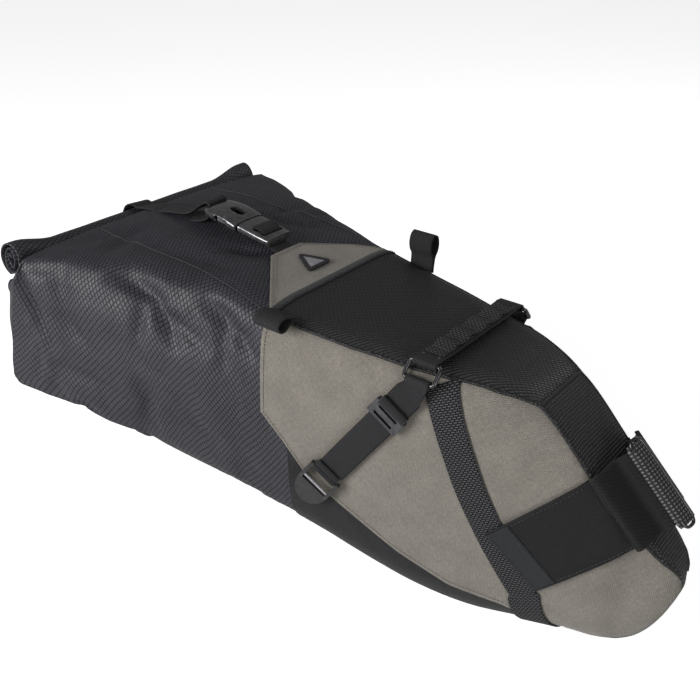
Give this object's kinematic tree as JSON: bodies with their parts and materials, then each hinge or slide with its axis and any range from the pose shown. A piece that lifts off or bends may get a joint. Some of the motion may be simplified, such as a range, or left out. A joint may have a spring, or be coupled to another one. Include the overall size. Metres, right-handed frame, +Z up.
{
  "type": "saddle bag",
  "caption": "Soft tapered bicycle saddle bag with a roll-top rear, side compression straps, saddle-rail rings and a hook-and-loop seatpost strap.",
  "frame": {"origin": "midway between the two saddle-rail rings, on the top of the bag", "axes": "+X forward towards the seatpost nose, +Y to the rider's left, +Z up"},
  "size_m": [0.5822, 0.314, 0.2608],
  "materials": {
    "shell_fabric": "embossed diamond ripstop, coated",
    "panel_fabric": "fine plain weave, matte",
    "grip_fabric": "embossed grip cloth",
    "base_fabric": "coated cloth",
    "board": "plain board",
    "webbing": "woven webbing",
    "strap_fabric": "fine twill hook-and-loop strap",
    "loop_pile": "brushed loop pile",
    "label": "smooth woven label",
    "pad_fabric": "dotted grip cloth over padding",
    "gloss_black": "gloss black",
    "hook_plastic": "satin gloss",
    "steel": "polished bar",
    "slider_metal": "satin",
    "buckle_plastic": "glossy dark",
    "badge_rubber": "moulded"
  },
  "bodies": {
    "bag": {"main_bag_top": "shell_fabric", "main_bag_bottom": "shell_fabric", "main_bag_side_right": "shell_fabric", "main_bag_side_left": "shell_fabric", "main_bag_rear": "shell_fabric", "main_bag_nose": "shell_fabric", "side_panel_right": "panel_fabric", "side_panel_left": "panel_fabric", "rear_flap": "panel_fabric", "top_panel": "grip_fabric", "nose_panel": "grip_fabric", "belly_panel": "base_fabric", "nose_stiffener": "board", "belly_strap": "webbing", "rail_strap_right": "webbing", "rail_strap_left": "webbing", "hook_strap_loop_right": "webbing", "hook_strap_loop_left": "webbing", "rail_band": "webbing", "flap_strap": "webbing", "strap_anchor": "strap_fabric", "loop_patch": "loop_pile", "buckle_male": "buckle_plastic", "flap_badge": "badge_rubber"},
    "closure": {"roll_closure": "shell_fabric", "closure_stiffener": "board", "roll_strap": "webbing", "buckle_female": "buckle_plastic"},
    "prong_right": {"buckle_prong_right": "buckle_plastic"},
    "prong_left": {"buckle_prong_left": "buckle_plastic"},
    "ring_right": {"rail_ring_right": "gloss_black", "ring_strap_loop_right": "webbing"},
    "ring_left": {"rail_ring_left": "gloss_black", "ring_strap_loop_left": "webbing"},
    "slider_right": {"strap_slider_right": "slider_metal"},
    "slider_left": {"strap_slider_left": "slider_metal"},
    "hook_right": {"strap_hook_right": "hook_plastic", "hook_bar_right": "steel"},
    "hook_left": {"strap_hook_left": "hook_plastic", "hook_bar_left": "steel"},
    "seatpost_loop": {"seatpost_strap": "strap_fabric", "seatpost_pad": "pad_fabric", "seatpost_ring": "gloss_black"},
    "strap_end": {"strap_tail": "strap_fabric", "strap_label": "label"},
    "loop_right": {"light_loop_right": "webbing"},
    "loop_left": {"light_loop_left": "webbing"}
  },
  "joints": [
    {"name": "closure_pull", "type": "slide", "parent": "bag", "child": "closure", "axis": [-0.9877, 0, 0.1564], "range_m": [0, 0.022]},
    {"name": "prong_right_squeeze", "type": "hinge", "parent": "bag", "child": "prong_right", "pos_m": [-0.21909, -0.0096, 0.04041], "axis": [-0.1564, 0, -0.9877], "range_deg": [0, 4]},
    {"name": "prong_left_squeeze", "type": "hinge", "parent": "bag", "child": "prong_left", "pos_m": [-0.21909, 0.0096, 0.04041], "axis": [0.1564, 0, 0.9877], "range_deg": [0, 4]},
    {"name": "ring_right_swing", "type": "hinge", "parent": "bag", "child": "ring_right", "pos_m": [0, -0.05852, 0.00998], "axis": [-1, 0, 0], "range_deg": [0, 25]},
    {"name": "ring_left_swing", "type": "hinge", "parent": "bag", "child": "ring_left", "pos_m": [0, 0.05852, 0.00998], "axis": [1, 0, 0], "range_deg": [0, 25]},
    {"name": "slider_right_slide", "type": "slide", "parent": "bag", "child": "slider_right", "axis": [-0.5698, -0.2139, -0.7935], "range_m": [-0.006, 0.006]},
    {"name": "slider_left_slide", "type": "slide", "parent": "bag", "child": "slider_left", "axis": [-0.5698, 0.2139, -0.7935], "range_m": [-0.006, 0.006]},
    {"name": "hook_right_lift", "type": "hinge", "parent": "bag", "child": "hook_right", "pos_m": [-0.0685, -0.08884, -0.1], "axis": [-0.7977, -0.1522, 0.5836], "range_deg": [0, 45]},
    {"name": "hook_left_lift", "type": "hinge", "parent": "bag", "child": "hook_left", "pos_m": [-0.0685, 0.08884, -0.1], "axis": [0.7977, -0.1522, -0.5836], "range_deg": [0, 45]},
    {"name": "seatpost_loop_open", "type": "hinge", "parent": "bag", "child": "seatpost_loop", "pos_m": [0.14193, 0.037, -0.06627], "axis": [-0.7071, 0, 0.7071], "range_deg": [0, 70]},
    {"name": "strap_end_peel", "type": "hinge", "parent": "seatpost_loop", "child": "strap_end", "pos_m": [0.1374, -0.0345, -0.0708], "axis": [-0.7071, 0, 0.7071], "range_deg": [0, 75]},
    {"name": "light_loop_right_flip", "type": "hinge", "parent": "bag", "child": "loop_right", "pos_m": [-0.1185, -0.0755, 0.0184], "axis": [-1, 0, 0], "range_deg": [0, 80]},
    {"name": "light_loop_left_flip", "type": "hinge", "parent": "bag", "child": "loop_left", "pos_m": [-0.097, 0.0782, 0.0174], "axis": [-1, 0, 0], "range_deg": [-40, 60]}
  ],
  "couplings": [
    {"joint": "prong_left_squeeze", "follows": "prong_right_squeeze", "ratio": 1}
  ]
}
